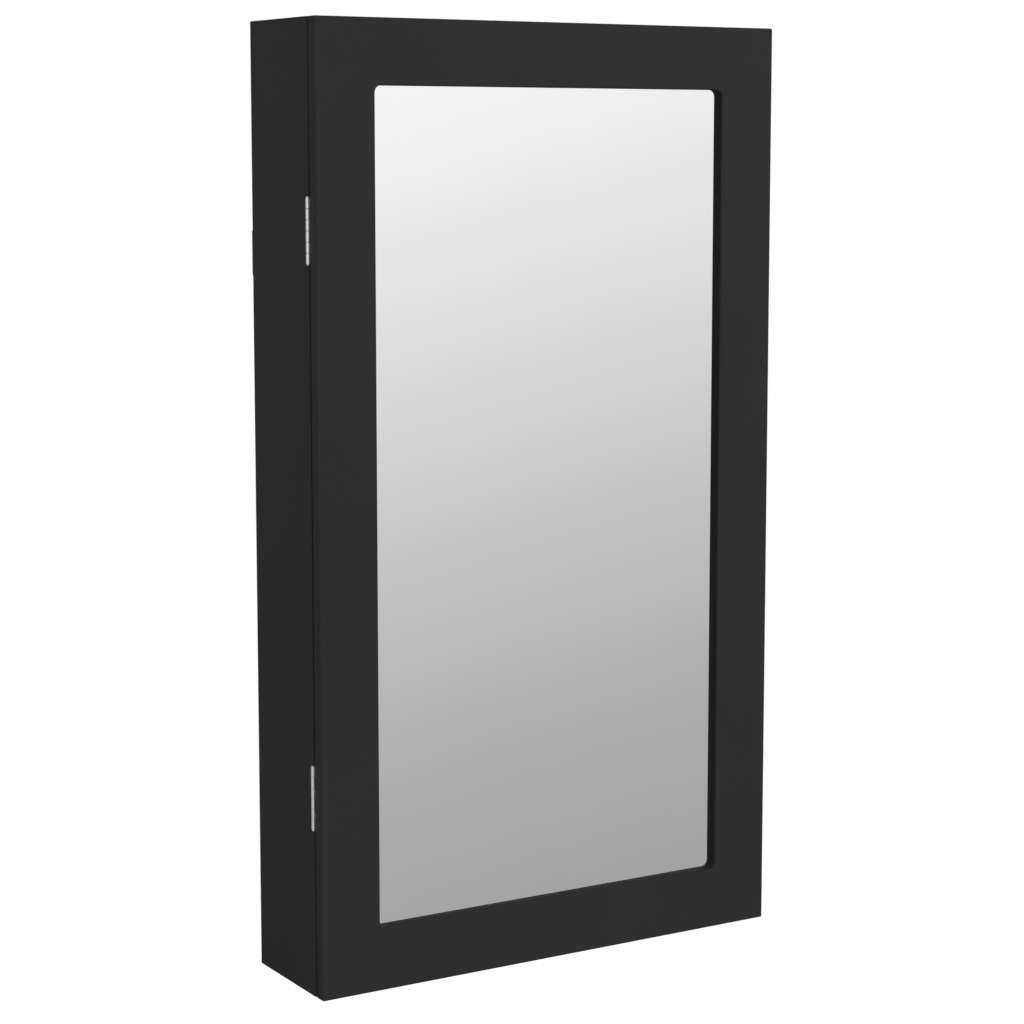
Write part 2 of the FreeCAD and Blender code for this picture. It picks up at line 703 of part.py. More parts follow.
def strike_plates():
    """Two steel discs on the door's back, facing the magnets."""
    discs = [cylinder(STRIKE_RADIUS, STRIKE_THICK, (EDGE_MIDDLE_X, DOOR_BACK_Y, z), Y_AXIS) for z in CATCH_ZS]
    return [disc.cut(holes_for(strike_screws())) for disc in discs]


# ---------------------------------------------------------------- inside

def shelf(name):
    """A shelf on four pins, notched over them and slotted for its guard."""
    low = SHELF_ZS[name]
    top = low + SHELF_THICK
    half = INNER_X - SHELF_PLAY
    board = box((-half, half), (SHELF_FRONT_Y, INSIDE_Y), (low, top))
    board = board.makeFillet(INSIDE_ROUND, edges_where(board, lambda e, m: near(m.y, SHELF_FRONT_Y)))
    tools = shelf_pins() + [guard_groove(top)]
    if name == "upper":
        tools += holes_for(divider_screws())
    return cut_all(board, tools)


def guard(floor_z):
    """A clear strip standing in its slot, with rounded top corners."""
    half = INNER_X - GUARD_END_PLAY
    guard_y = (GUARD_Y - GUARD_THICK / 2, GUARD_Y + GUARD_THICK / 2)
    top = floor_z - GUARD_GROOVE + GUARD_HEIGHT
    strip = box((-half, half), guard_y, (floor_z - GUARD_GROOVE, top))
    corners = edges_where(strip, lambda e, m: runs_along(e, Y_AXIS) and near(m.z, top))
    return strip.makeFillet(GUARD_CORNER, corners)


def divider():
    """The upright between the two bays."""
    low = SHELF_ZS["upper"] + SHELF_THICK
    divider_x = (DIVIDER_LEFT_X, DIVIDER_RIGHT_X)
    board = box(divider_x, (DIVIDER_FRONT_Y, INSIDE_Y), (low, INNER_TOP + DIVIDER_HOUSING))
    front = edges_where(board, lambda e, m: near(m.y, DIVIDER_FRONT_Y) and runs_along(e, Z_AXIS))
    board = board.makeFillet(INSIDE_ROUND, front)
    return cut_all(board, holes_for(divider_screws() + cradle_screws()))


def necklace_hook(number):
    """A round wire hook with a flange on the rail and a ball on its raised end."""
    x = LEFT_BAY_X + (number - (HOOKS - 1) / 2) * HOOK_PITCH
    z = RAIL_LOW + RAIL_HEIGHT / 2
    bend_y = RAIL_FRONT_Y - HOOK_REACH
    shank = cylinder(HOOK_WIRE, HOOK_SUNK + HOOK_REACH, (x, RAIL_FRONT_Y + HOOK_SUNK, z), -Y_AXIS)
    flange = cylinder(HOOK_FLANGE_RADIUS, HOOK_FLANGE_THICK, (x, RAIL_FRONT_Y, z), -Y_AXIS)
    profile = Part.Face(Part.Wire(Part.makeCircle(HOOK_WIRE, Vector(x, bend_y, z), Y_AXIS)))
    bend = profile.revolve(Vector(x, bend_y, z + HOOK_BEND), X_AXIS, -90)
    tip_y = bend_y - HOOK_BEND
    tip_z = z + HOOK_BEND + HOOK_RISE
    riser = cylinder(HOOK_WIRE, HOOK_RISE, (x, tip_y, z + HOOK_BEND), Z_AXIS)
    ball = Part.makeSphere(HOOK_BALL, Vector(x, tip_y, tip_z))
    return shank.fuse([flange, bend, riser, ball]).removeSplitter()


def hook_rail():
    """The wooden rail that carries the hooks."""
    half = RAIL_LENGTH / 2
    rail_x = (LEFT_BAY_X - half, LEFT_BAY_X + half)
    rail = box(rail_x, (RAIL_FRONT_Y, INSIDE_Y), (RAIL_LOW, RAIL_LOW + RAIL_HEIGHT))
    front = edges_where(rail, lambda e, m: near(m.y, RAIL_FRONT_Y))
    rail = rail.makeFillet(RAIL_ROUND, front)
    return cut_all(rail, holes_for(rail_screws()) + [necklace_hook(number) for number in range(HOOKS)])


def cradle(name):
    """A block with an open-topped slot for one end of the bangle rod."""
    face_x, inward = cradle_faces()[name]
    back_x = face_x + inward.x * CRADLE_THICK
    cradle_y = (ROD_Y - CRADLE_HALF_DEPTH, ROD_Y + CRADLE_HALF_DEPTH)
    block = box((face_x, back_x), cradle_y, (ROD_Z - CRADLE_BELOW, ROD_Z + CRADLE_ABOVE))
    bottom = edges_where(block, lambda e, m: runs_along(e, X_AXIS) and near(m.z, ROD_Z - CRADLE_BELOW))
    block = block.makeFillet(CRADLE_BOTTOM_ROUND, bottom)
    top = edges_where(block, lambda e, m: runs_along(e, X_AXIS) and near(m.z, ROD_Z + CRADLE_ABOVE))
    block = block.makeFillet(CRADLE_TOP_ROUND, top)
    seat = cylinder(CRADLE_SLOT, CRADLE_THICK, (face_x, ROD_Y, ROD_Z), inward)
    slot = box((face_x, back_x), (ROD_Y - CRADLE_SLOT, ROD_Y + CRADLE_SLOT), (ROD_Z, ROD_Z + CRADLE_ABOVE))
    return cut_all(block, [seat, slot] + holes_for(cradle_screws()))


def rod_ends():
    """For each end of the bangle rod: the outer face of its cap and the direction outwards."""
    return [(face_x - inward.x * CRADLE_GAP, inward) for face_x, inward in cradle_faces().values()]


def rod_caps():
    """Two turned end caps, each with a spigot that lies in its cradle."""
    caps = []
    for outer_x, outward in rod_ends():
        disc = cylinder(CAP_RADIUS, CAP_THICK, (outer_x, ROD_Y, ROD_Z), -outward)
        rim = edges_where(disc, lambda e, m: e.Curve.TypeId == "Part::GeomCircle")
        disc = disc.makeFillet(CAP_ROUND, rim)
        spigot = cylinder(SPIGOT_RADIUS, SPIGOT_LENGTH + CAP_THICK / 2, (outer_x, ROD_Y, ROD_Z), outward)
        root = cylinder(SPIGOT_RADIUS, CAP_THICK / 2, (outer_x, ROD_Y, ROD_Z), -outward)
        caps.append(disc.fuse([spigot, root]).removeSplitter())
    return caps


def bangle_rod():
    """The padded bar between the caps."""
    ends = sorted(outer_x - outward.x * CAP_THICK for outer_x, outward in rod_ends())
    return cylinder(ROD_RADIUS, ends[1] - ends[0], (ends[0], ROD_Y, ROD_Z), X_AXIS)


def earring_panel():
    """The drilled panel: rows of hole pairs for earring posts."""
    half = EARRING_WIDTH / 2
    panel_x = (RIGHT_BAY_X - half, RIGHT_BAY_X + half)
    front_y = EARRING_BACK_Y - EARRING_THICK
    panel = box(panel_x, (front_y, EARRING_BACK_Y), (EARRING_LOW, EARRING_LOW + EARRING_HEIGHT))
    panel = panel.makeFillet(EARRING_CORNER, edges_where(panel, lambda e, m: runs_along(e, Y_AXIS)))
    middle_z = EARRING_LOW + EARRING_HEIGHT / 2
    holes = []
    for row in range(EARRING_ROWS):
        z = middle_z + (row - (EARRING_ROWS - 1) / 2) * EARRING_ROW_PITCH
        for pair in range(EARRING_PAIRS):
            pair_x = RIGHT_BAY_X + (pair - (EARRING_PAIRS - 1) / 2) * EARRING_PAIR_PITCH
            for dx in (-EARRING_PAIR_GAP / 2, EARRING_PAIR_GAP / 2):
                holes.append(cylinder(EARRING_HOLE_RADIUS, EARRING_THICK, (pair_x + dx, front_y, z), Y_AXIS))
    return cut_all(panel, holes + holes_for(earring_screws()))


def standoffs():
    """Four posts between the back lining and the earring panel."""
    length = INSIDE_Y - EARRING_BACK_Y
    posts = [cylinder(STANDOFF_RADIUS, length, (x, INSIDE_Y, z), -Y_AXIS) for x, z in standoff_spots()]
    return [cut_all(post, holes_for(earring_screws())) for post in posts]


def ring_tray():
    """A shallow open box that holds the ring cushion."""
    half = TRAY_WIDTH / 2
    tray_x = (RIGHT_BAY_X - half, RIGHT_BAY_X + half)
    tray_y = (INSIDE_Y - TRAY_DEPTH, INSIDE_Y)
    tray = box(tray_x, tray_y, (TRAY_LOW, TRAY_LOW + TRAY_HEIGHT))
    room_x = (tray_x[0] + TRAY_WALL, tray_x[1] - TRAY_WALL)
    room_z = (TRAY_LOW + TRAY_WALL, TRAY_LOW + TRAY_HEIGHT - TRAY_WALL)
    room = box(room_x, (tray_y[0], INSIDE_Y - TRAY_BACK), room_z)
    tray = tray.cut(room)
    tray = tray.makeFillet(TRAY_ROUND, edges_where(tray, lambda e, m: near(m.y, tray_y[0])))
    return cut_all(tray, holes_for(tray_screws()))


def ring_cushion():
    """One foam cushion: round-nosed ribs on a common base, with a slit for rings between them."""
    half = TRAY_WIDTH / 2 - TRAY_WALL - CUSHION_PLAY
    length = 2 * half
    start_x = RIGHT_BAY_X - half
    low = TRAY_LOW + TRAY_WALL + CUSHION_PLAY
    height = TRAY_HEIGHT - 2 * (TRAY_WALL + CUSHION_PLAY)
    back_y = INSIDE_Y - TRAY_BACK
    nose_y = INSIDE_Y - TRAY_DEPTH - CUSHION_PROUD
    rib_radius = (height / RING_RIBS - RIB_GAP) / 2
    base = box((start_x, start_x + length), (back_y - CUSHION_BASE, back_y), (low, low + height))
    ribs = []
    for number in range(RING_RIBS):
        z = low + (number + 0.5) * height / RING_RIBS
        centre_y = nose_y + rib_radius
        ribs.append(box((start_x, start_x + length), (centre_y, back_y), (z - rib_radius, z + rib_radius)))
        ribs.append(cylinder(rib_radius, length, (start_x, centre_y, z), X_AXIS))
    return base.fuse(ribs).removeSplitter()


def save_case():
    save("side_panel_left", side_panel(-1))
    save("side_panel_right", side_panel(1))
    save("top_panel", top_panel())
    save("bottom_panel", bottom_panel())
    save("back_board", back_board())
    save("back_lining", back_lining())
    save("corner_dowels", corner_dowels())
    save("hanger_plate_left", hanger_plate(-1))
    save("hanger_plate_right", hanger_plate(1))
    save("hanger_screws", finished(hanger_screws()))
    save("wall_pads", wall_pads())
    save("catch_magnets", magnets())
    save("door_bumpers", bumpers())


def save_hinges():
    for name, middle_z in HINGE_ZS.items():
        save("hinge_" + name + "_case_leaf", case_leaf(middle_z))
        save("hinge_" + name + "_door_leaf", door_leaf(middle_z))
        save("hinge_" + name + "_pin", hinge_pin(middle_z))
    save("hinge_case_screws", finished(case_leaf_screws()))
    save("hinge_door_screws", finished(door_leaf_screws()))


def save_door():
    save("door_frame", door_frame())
    save("mirror_glass", rebate_sheet((MIRROR_Y, BOARD_Y)))
    save("mirror_backing_board", rebate_sheet((BOARD_Y, PACK_BACK_Y)))
    save("door_lining", door_lining())
    for name, bead in mitred_beads().items():
        save("mirror_bead_" + name, bead)
    save("bead_screws", finished(bead_screws()))
    save("strike_plates", strike_plates())
    save("strike_screws", finished(strike_screws()))


def save_inside():
    for name, low in SHELF_ZS.items():
        save("shelf_" + name, shelf(name))
        save("guard_" + name, guard(low + SHELF_THICK))
    save("guard_bottom", guard(INNER_BOTTOM))
    save("shelf_pins", shelf_pins())
    save("divider", divider())
    save("divider_screws", finished(divider_screws()))
    save("hook_rail", hook_rail())
    save("hook_rail_screws", finished(rail_screws()))
    for number in range(HOOKS):
        save("necklace_hook_" + str(number + 1), necklace_hook(number))
    for name in cradle_faces():
        save("rod_cradle_" + name, cradle(name))
    save("cradle_screws", finished(cradle_screws()))
    save("bangle_rod", bangle_rod())
    save("bangle_rod_caps", rod_caps())
    save("earring_panel", earring_panel())
    save("earring_standoffs", standoffs())
    save("earring_screws", finished(earring_screws()))
    save("ring_tray", ring_tray())
    save("ring_tray_screws", finished(tray_screws()))
    save("ring_cushion", ring_cushion())


os.makedirs("parts", exist_ok=True)
save_case()
save_hinges()
save_door()
save_inside()
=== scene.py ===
"""Looks of the wall-hung jewelry cabinet: lacquer, mirror, velvet, metal, light and camera.

Everything is in metres in the cabinet's own frame: X to the right seen from the front,
Y towards the wall, Z up, with the origin on the wall between the two hanger holes.
"""
import json
import math

import bpy
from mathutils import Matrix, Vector, noise


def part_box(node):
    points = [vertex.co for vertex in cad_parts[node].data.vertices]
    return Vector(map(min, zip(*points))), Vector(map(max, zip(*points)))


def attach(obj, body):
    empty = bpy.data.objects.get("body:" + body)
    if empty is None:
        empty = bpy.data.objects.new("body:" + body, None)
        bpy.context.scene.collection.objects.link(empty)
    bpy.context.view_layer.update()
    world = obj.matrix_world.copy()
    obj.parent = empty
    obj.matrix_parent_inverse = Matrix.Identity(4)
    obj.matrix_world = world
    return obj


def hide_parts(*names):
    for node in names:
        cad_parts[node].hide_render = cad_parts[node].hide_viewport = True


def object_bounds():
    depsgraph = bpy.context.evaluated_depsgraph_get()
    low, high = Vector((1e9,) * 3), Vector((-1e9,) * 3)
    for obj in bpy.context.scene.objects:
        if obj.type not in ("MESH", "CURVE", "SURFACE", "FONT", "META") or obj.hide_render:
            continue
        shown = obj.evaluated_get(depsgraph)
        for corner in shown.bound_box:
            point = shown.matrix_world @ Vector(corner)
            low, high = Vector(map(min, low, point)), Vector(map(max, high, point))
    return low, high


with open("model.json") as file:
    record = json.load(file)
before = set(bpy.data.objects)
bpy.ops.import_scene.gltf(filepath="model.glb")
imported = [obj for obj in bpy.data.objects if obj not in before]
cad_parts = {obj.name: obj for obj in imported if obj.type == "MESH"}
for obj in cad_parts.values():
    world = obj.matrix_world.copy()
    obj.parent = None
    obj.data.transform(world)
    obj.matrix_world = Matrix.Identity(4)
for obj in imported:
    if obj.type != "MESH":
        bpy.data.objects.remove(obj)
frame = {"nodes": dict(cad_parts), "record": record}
cad_low, cad_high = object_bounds()

MM = 0.001

# Camera, fitted to the photograph's six visible corners with a small lens shift
IMAGE_SIDE = 1024
SENSOR_WIDTH = 36.0
FOCAL_PIXELS = 2535.5
CAMERA_PLACE = Vector((-948.7, -1609.6, 79.5)) * MM
CAMERA_YAW = math.radians(31.1623)
CAMERA_PITCH = math.radians(6.8769)
CAMERA_SHIFT = -0.06
CAMERA_CLIP = (0.01, 100.0)

# Width of the door frame's members
MEMBER = 45.0 * MM

# Noise textures stay mostly within this span, which spread() stretches
NOISE_SPAN = (0.3, 0.7)

# Satin lacquer of the case and the door
LACQUER_LEVEL = 0.019
LACQUER_ROUGHNESS = 0.5

# Beech, between its dark and its light grain
BEECH_DARK = (0.45, 0.28, 0.15, 1.0)
BEECH_LIGHT = (0.66, 0.47, 0.3, 1.0)

# Painted shade on the routed walls around the mirror, standing in for the recess's shade: how dark it is
# beside the face, how much duller it is, how far past the walls it is looked for, and where it begins
# behind the face and above the sill
REVEAL_PAINTED_SHADE = 0.5
REVEAL_DULL = 0.4
REVEAL_EDGE = 0.3 * MM
REVEAL_START = (0.5 * MM, 1.4 * MM)
SILL_START = (1.0 * MM, 5.0 * MM)
# the sill faces the light from above, so it gets only this share of the painted shade
SILL_SHARE = 0.5

# Points along and around each soft piece's mesh
LINING_GRID = (70, 120)
RIB_GRID = (58, 34)
ROLL_GRID = (110, 48)
PAD_GRID = (14, 64)

# Linings: the softened edge and the ripple over the glue
LINING_EASE = 0.35 * MM
LINING_EASE_WIDTH = 1.2 * MM
LINING_RIPPLE = 0.14 * MM

# Padded pieces: cloth runs on a larger copy, where it is steadier, and moves no further than its limit
SWELL_SCALE = 10.0
SWELL_FRAMES = 20
SWELL_PRESSURE = 1.2
CLOTH_QUALITY = 8
CLOTH_MASS = 0.2

# Ring cushion
RING_RIBS = 12
RIB_SHAPES = 3
RIB_SLIT = 0.55 * MM
RIB_END_GAP = 0.3 * MM
RIB_FACE_GAP = 0.5 * MM
RIB_NOSE = 4.5 * MM
RIB_TIP = 0.05
RIB_WAVE = 0.03
RIB_HELD = 2.5 * MM
RIB_LIMIT = 0.55 * MM

# Bangle rod's cover
ROLL_SLACK = 0.8 * MM
ROLL_GATHER = 7.0 * MM
ROLL_PLEATS = 12
ROLL_PLEAT = 0.45 * MM
ROLL_STITCH = 5.0 * MM
ROLL_STITCH_DEPTH = 0.25 * MM
ROLL_SEAM_DEPTH = 0.7 * MM
ROLL_WAVE = 0.25 * MM
ROLL_LIMIT = 0.7 * MM

# Felt pads
PAD_ROUND = 0.5 * MM
PAD_ROUND_FROM = 0.6
PAD_WAVE = 0.2 * MM

# Floor: its depth below the cabinet, its side, its grey and the glow that whitens it for the camera
FLOOR_DROP = 1.0
FLOOR_SIDE = 14.0
FLOOR_GREY = 0.5
FLOOR_GLOW = 0.74

# World: light on matte surfaces, and what reflections see, by height and by direction
AMBIENT = 0.5
STUDIO_HEIGHTS = (-0.4, 0.1)
STUDIO_LEVELS = (
    (0.0, 0.37),
    (0.2, 0.38),
    (0.32, 0.43),
    (0.476, 0.56),
    (0.644, 0.74),
    (0.818, 0.92),
    (1.0, 1.0),
)
STUDIO_LEAN = 0.035
STUDIO_LEAN_SPAN = (0.41, 0.61)
WALLWARD_SHINE = 0.5
WALLWARD_SPAN = (-0.6, 0.5)
SIDEWARD = (-0.43, 0.9, 0.0)
SIDEWARD_SHINE = 0.45
SIDEWARD_SPAN = (0.3, 0.85)
OVERHEAD_SHINE = 0.5
OVERHEAD_SPAN = (0.1, 1.0)

# Lamps: name, place and power of each softbox
LAMP_SIDE = 1.8
LAMPS = (
    ("key", (1.6, -2.6, 1.5), 38.0),
    ("fill", (-2.4, -1.2, 0.9), 8.0),
    ("back_fill", (0.6, 2.6, 1.2), 20.0),
)


# ---------------------------------------------------------------- node helpers

class Nodes:
    """A short way to build a shader tree."""

    def __init__(self, tree):
        self.tree = tree
        self.tree.nodes.clear()

    def add(self, kind, **settings):
        node = self.tree.nodes.new(kind)
        for name, value in settings.items():
            setattr(node, name, value)
        return node

    def link(self, source, target):
        self.tree.links.new(source, target)

    def fill(self, node, **values):
        """Set or link inputs by name, with underscores for spaces."""
        for name, value in values.items():
            socket = node.inputs[name.replace("_", " ")]
            if isinstance(value, bpy.types.NodeSocket):
                self.link(value, socket)
            else:
                socket.default_value = value

    def noise(self, vector, scale, detail=2.0, roughness=0.5):
        node = self.add("ShaderNodeTexNoise")
        self.fill(node, Vector=vector, Scale=scale, Detail=detail, Roughness=roughness)
        return node.outputs["Fac"]

    def remap(self, value, low, high, to_low, to_high):
        node = self.add("ShaderNodeMapRange")
        node.inputs["From Min"].default_value = low
        node.inputs["From Max"].default_value = high
        node.inputs["To Min"].default_value = to_low
        node.inputs["To Max"].default_value = to_high
        self.link(value, node.inputs["Value"])
        return node.outputs["Result"]

    def spread(self, value, to_low=0.0, to_high=1.0):
        """Stretch a noise value over a whole range."""
        return self.remap(value, *NOISE_SPAN, to_low, to_high)

    def blend(self, factor, first, second):
        node = self.add("ShaderNodeMix", data_type="RGBA", clamp_factor=False)
        self.link(factor, node.inputs["Factor"])
        node.inputs["A"].default_value = first
        node.inputs["B"].default_value = second
        return node.outputs["Result"]

    def math(self, operation, first, second):
        node = self.add("ShaderNodeMath", operation=operation)
        for socket, value in zip(node.inputs, (first, second)):
            if isinstance(value, bpy.types.NodeSocket):
                self.link(value, socket)
            else:
                socket.default_value = value
        return node.outputs[0]

    def bump(self, height, distance, strength=1.0):
        node = self.add("ShaderNodeBump")
        self.fill(node, Height=height, Distance=distance, Strength=strength)
        return node.outputs["Normal"]


def grey(level):
    """An opaque grey."""
    return (level, level, level, 1.0)


def surface(name):
    """A new material with its nodes, its shader and its object coordinates."""
    material = bpy.data.materials.new(name)
    material.use_nodes = True
    nodes = Nodes(material.node_tree)
    output = nodes.add("ShaderNodeOutputMaterial")
    shader = nodes.add("ShaderNodeBsdfPrincipled")
    nodes.link(shader.outputs["BSDF"], output.inputs["Surface"])
    place = nodes.add("ShaderNodeTexCoord").outputs["Object"]
    return material, nodes, shader, place


def stretched(nodes, place, scale):
    """Object coordinates scaled per axis, for grain that runs one way."""
    node = nodes.add("ShaderNodeMapping")
    nodes.fill(node, Vector=place, Scale=scale)
    return node.outputs["Vector"]


# ---------------------------------------------------------------- materials

def lacquer(name, level, roughness, reveal=False):
    """Satin black lacquer on fibreboard: faint mottle, orange peel and uneven gloss.

    With a reveal, the routed walls around the mirror get painted shade and duller lacquer, less so on
    the sill, which faces the light from above.
    """
    material, nodes, shader, place = surface(name)
    mottle = nodes.noise(place, 9.0, 4.0)
    peel = nodes.noise(place, 650.0, 2.0)
    fleck = nodes.noise(place, 2600.0, 1.0)
    shader.inputs["Specular IOR Level"].default_value = 0.2
    shade = nodes.spread(mottle, 0.94, 1.06)
    rough = nodes.spread(mottle, roughness - 0.03, roughness + 0.03)
    if reveal:
        # painted shade: the routed walls around the mirror are darkened in colour where the recess is in
        # shade, and made duller
        recess_painted_shade = reveal_painted_shade_mask(nodes, place)
        shade = nodes.math("MULTIPLY", shade, nodes.remap(recess_painted_shade, 0.0, 1.0, 1.0, REVEAL_PAINTED_SHADE))
        rough = nodes.math("ADD", rough, nodes.math("MULTIPLY", recess_painted_shade, REVEAL_DULL))
    colour = nodes.blend(shade, grey(0.0), grey(level))
    height = nodes.math("ADD", peel, nodes.math("MULTIPLY", fleck, 0.3))
    nodes.fill(shader, Base_Color=colour, Roughness=rough, Normal=nodes.bump(height, 0.00004, 0.5))
    return material


def reveal_painted_shade_mask(nodes, place):
    """Where the recess's shade is painted: one on the window's routed walls, less on its sill, nought on
    the frame's face.
    """
    parts = nodes.add("ShaderNodeSeparateXYZ")
    nodes.link(place, parts.inputs[0])
    low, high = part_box("door_frame")
    height = parts.outputs["Z"]
    window_x = (high.x - low.x) / 2 - MEMBER
    sill = low.z + MEMBER
    lintel = high.z - MEMBER
    across = nodes.math("ABSOLUTE", parts.outputs["X"], 0.0)
    beside = nodes.math("LESS_THAN", across, window_x + REVEAL_EDGE)
    below = nodes.math("LESS_THAN", height, lintel + REVEAL_EDGE)
    above = nodes.math("GREATER_THAN", height, sill - REVEAL_EDGE)
    # the sill, facing the light, gets less of the painted shade
    weight = nodes.remap(height, sill + SILL_START[0], sill + SILL_START[1], SILL_SHARE, 1.0)
    behind = nodes.remap(parts.outputs["Y"], low.y + REVEAL_START[0], low.y + REVEAL_START[1], 0.0, 1.0)
    mask = nodes.math("MULTIPLY", beside, below)
    for share in (above, weight, behind):
        mask = nodes.math("MULTIPLY", mask, share)
    return mask


def mirror_finish(name):
    """Silvered glass, clean but for a trace of haze."""
    material, nodes, shader, place = surface(name)
    haze = nodes.noise(place, 14.0, 5.0)
    shader.inputs["Metallic"].default_value = 1.0
    colour = nodes.blend(nodes.spread(haze), grey(0.945), grey(0.955))
    nodes.fill(shader, Base_Color=colour, Roughness=nodes.remap(haze, 0.45, 0.8, 0.0, 0.012))
    return material


def velvet(name, level):
    """Short black pile: sheen towards grazing angles, with faint patches where the pile leans."""
    material, nodes, shader, place = surface(name)
    lean = nodes.noise(place, 22.0, 4.0, 0.6)
    tuft = nodes.noise(place, 420.0, 3.0, 0.7)
    pile = nodes.noise(place, 2400.0, 2.0, 0.7)
    shader.inputs["Specular IOR Level"].default_value = 0.1
    shader.inputs["Sheen Weight"].default_value = 0.5
    shader.inputs["Sheen Roughness"].default_value = 0.4
    shader.inputs["Sheen Tint"].default_value = (0.8, 0.81, 0.86, 1.0)
    mix = nodes.math("ADD", nodes.math("MULTIPLY", lean, 0.45), nodes.math("MULTIPLY", tuft, 0.55))
    colour = nodes.blend(nodes.remap(mix, 0.38, 0.62, 0, 1), grey(level * 0.72), grey(level * 1.35))
    height = nodes.math("ADD", pile, nodes.math("MULTIPLY", tuft, 0.5))
    nodes.fill(shader, Base_Color=colour, Roughness=0.95, Normal=nodes.bump(height, 0.0003, 0.8))
    return material


def plated(name, level, roughness, grain, metallic=1.0):
    """Plated metal with fine brushing along one axis; less metallic for a dull zinc coat."""
    material, nodes, shader, place = surface(name)
    lines = nodes.noise(stretched(nodes, place, grain), 1.0, 3.0)
    shader.inputs["Metallic"].default_value = metallic
    colour = nodes.blend(nodes.spread(lines), grey(level * 0.93), grey(level))
    rough = nodes.spread(lines, roughness - 0.05, roughness + 0.06)
    nodes.fill(shader, Base_Color=colour, Roughness=rough, Normal=nodes.bump(lines, 0.00002, 0.6))
    return material


def clear_acrylic(name):
    """Clear sheet with faint, even wear in its gloss."""
    material, nodes, shader, place = surface(name)
    wear = nodes.noise(place, 300.0, 4.0)
    shader.inputs["Transmission Weight"].default_value = 1.0
    shader.inputs["IOR"].default_value = 1.49
    shader.inputs["Base Color"].default_value = (0.96, 0.985, 0.98, 1.0)
    nodes.fill(shader, Roughness=nodes.spread(wear, 0.01, 0.03))
    return material


def hardboard(name):
    """Thin black-faced board with a pressed fibre texture."""
    material, nodes, shader, place = surface(name)
    fibre = nodes.noise(stretched(nodes, place, (260.0, 260.0, 60.0)), 1.0, 5.0, 0.65)
    cloud = nodes.noise(place, 11.0, 3.0)
    shader.inputs["Specular IOR Level"].default_value = 0.2
    mix = nodes.math("ADD", nodes.math("MULTIPLY", fibre, 0.7), nodes.math("MULTIPLY", cloud, 0.3))
    colour = nodes.blend(nodes.remap(mix, 0.35, 0.65, 0, 1), grey(0.018), grey(0.034))
    nodes.fill(shader, Base_Color=colour, Roughness=0.8, Normal=nodes.bump(fibre, 0.0001, 0.7))
    return material


def plain_wood(name):
    """Unfinished beech, lengthwise grain along X."""
    material, nodes, shader, place = surface(name)
    grain = nodes.noise(stretched(nodes, place, (40.0, 900.0, 900.0)), 1.0, 4.0)
    colour = nodes.blend(nodes.spread(grain), BEECH_DARK, BEECH_LIGHT)
    nodes.fill(shader, Base_Color=colour, Roughness=0.7, Normal=nodes.bump(grain, 0.00005, 0.6))
    return material


def moulded(name, level, roughness):
    """Black plastic or rubber with a fine moulded grain."""
    material, nodes, shader, place = surface(name)
    grain = nodes.noise(place, 1800.0, 2.0)
    cloud = nodes.noise(place, 60.0, 2.0)
    shader.inputs["Specular IOR Level"].default_value = 0.4
    colour = nodes.blend(nodes.spread(cloud), grey(level * 0.9), grey(level * 1.1))
    nodes.fill(shader, Base_Color=colour, Roughness=roughness, Normal=nodes.bump(grain, 0.00008, 0.6))
    return material


def felt(name, level):
    """Pressed grey-black felt with loose fibres."""
    material, nodes, shader, place = surface(name)
    fibres = nodes.noise(place, 1300.0, 5.0, 0.75)
    shader.inputs["Specular IOR Level"].default_value = 0.1
    shader.inputs["Sheen Weight"].default_value = 0.3
    shader.inputs["Sheen Roughness"].default_value = 0.6
    colour = nodes.blend(nodes.remap(fibres, 0.35, 0.65, 0, 1), grey(level * 0.6), grey(level * 1.5))
    nodes.fill(shader, Base_Color=colour, Roughness=1.0, Normal=nodes.bump(fibres, 0.0004, 0.9))
    return material


def powder_coat(name, level):
    """Black powder coat: a tight, even pebble."""
    material, nodes, shader, place = surface(name)
    pebble = nodes.add("ShaderNodeTexVoronoi")
    nodes.fill(pebble, Vector=place, Scale=1500.0)
    cloud = nodes.noise(place, 30.0, 2.0)
    shader.inputs["Specular IOR Level"].default_value = 0.35
    colour = nodes.blend(nodes.spread(cloud), grey(level * 0.92), grey(level * 1.08))
    normal = nodes.bump(pebble.outputs["Distance"], 0.00006, 0.7)
    nodes.fill(shader, Base_Color=colour, Roughness=0.5, Normal=normal)
    return material


def make_materials():
    """One material for each of the record's slots."""
    return {
        "case_lacquer": lacquer("case_lacquer", LACQUER_LEVEL, LACQUER_ROUGHNESS),
        # the door's lacquer carries painted shade on the routed walls around the mirror
        "door_lacquer": lacquer("door_lacquer", LACQUER_LEVEL, LACQUER_ROUGHNESS, reveal=True),
        "bead_lacquer": lacquer("bead_lacquer", 0.018, 0.6),
        "black_plastic": moulded("black_plastic", 0.02, 0.45),
        "hardboard": hardboard("hardboard"),
        "velvet": velvet("velvet", 0.016),
        "mirror_glass": mirror_finish("mirror_glass"),
        "clear_acrylic": clear_acrylic("clear_acrylic"),
        "beech": plain_wood("beech"),
        "hinge_steel": plated("hinge_steel", 0.9, 0.28, (900.0, 900.0, 80.0), 0.75),
        "screw_steel": plated("screw_steel", 0.6, 0.3, (700.0, 700.0, 700.0)),
        "hanger_steel": plated("hanger_steel", 0.58, 0.35, (900.0, 900.0, 60.0)),
        "felt": felt("felt", 0.04),
        "bumper_rubber": moulded("bumper_rubber", 0.04, 0.7),
        "magnet_nickel": plated("magnet_nickel", 0.62, 0.2, (500.0, 500.0, 500.0)),
        "satin_nickel": plated("satin_nickel", 0.6, 0.3, (900.0, 120.0, 900.0)),
        "panel_metal": powder_coat("panel_metal", 0.028),
    }


def dress_nodes(materials):
    """Give every carried-over node the material of its slot."""
    slots = {part["node"]: part["material_slot"] for part in frame["record"]["subparts"]}
    for name, node in frame["nodes"].items():
        node.data.materials.clear()
        node.data.materials.append(materials[slots[name]])


# ---------------------------------------------------------------- soft pieces

